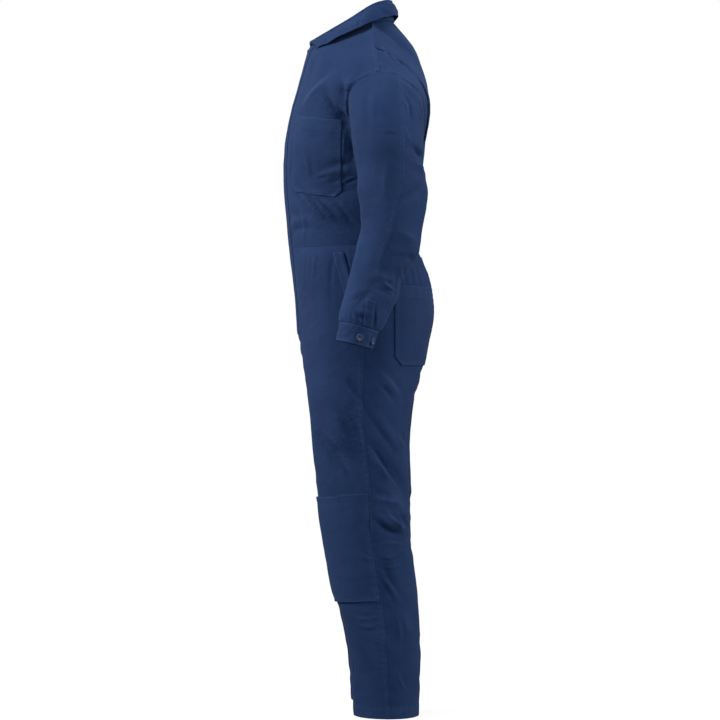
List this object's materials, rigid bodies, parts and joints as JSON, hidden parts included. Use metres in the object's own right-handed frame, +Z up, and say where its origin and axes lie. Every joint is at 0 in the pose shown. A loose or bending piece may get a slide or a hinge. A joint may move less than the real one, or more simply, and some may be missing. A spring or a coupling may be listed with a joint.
{
  "type": "boiler suit",
  "caption": "Navy work boiler suit worn by nobody: turned-down collar, covered front fly, chest, hip and back pockets, knee patches, buttoned cuffs and an elastic back waist.",
  "frame": {"origin": "Between the shoulders, just below the base of the neck, where the wearer carries the suit.", "axes": "X points to the wearer's left, Y to the wearer's back, so the front faces -Y, and Z up."},
  "size_m": [0.647, 0.3269, 1.5379],
  "materials": {
    "twill": "matt cotton and polyester twill",
    "button": "satin moulded plastic"
  },
  "bodies": {
    "root": {"bodice_front_left": "twill", "bodice_front_right": "twill", "bodice_back": "twill", "trouser_front_left": "twill", "trouser_front_right": "twill", "trouser_back_left": "twill", "trouser_back_right": "twill", "back_waist_casing": "twill", "collar": "twill", "front_fly": "twill", "sleeve_top_left": "twill", "sleeve_under_left": "twill", "cuff_left": "twill", "sleeve_vent_left": "twill", "chest_pocket_left": "twill", "back_pocket_left": "twill", "hip_pocket_edge_left": "twill", "knee_patch_left": "twill", "sleeve_top_right": "twill", "sleeve_under_right": "twill", "cuff_right": "twill", "sleeve_vent_right": "twill", "chest_pocket_right": "twill", "back_pocket_right": "twill", "hip_pocket_edge_right": "twill", "knee_patch_right": "twill", "cuff_button_left": "button", "cuff_button_spare_left": "button", "cuff_button_right": "button", "cuff_button_spare_right": "button"}
  },
  "joints": []
}
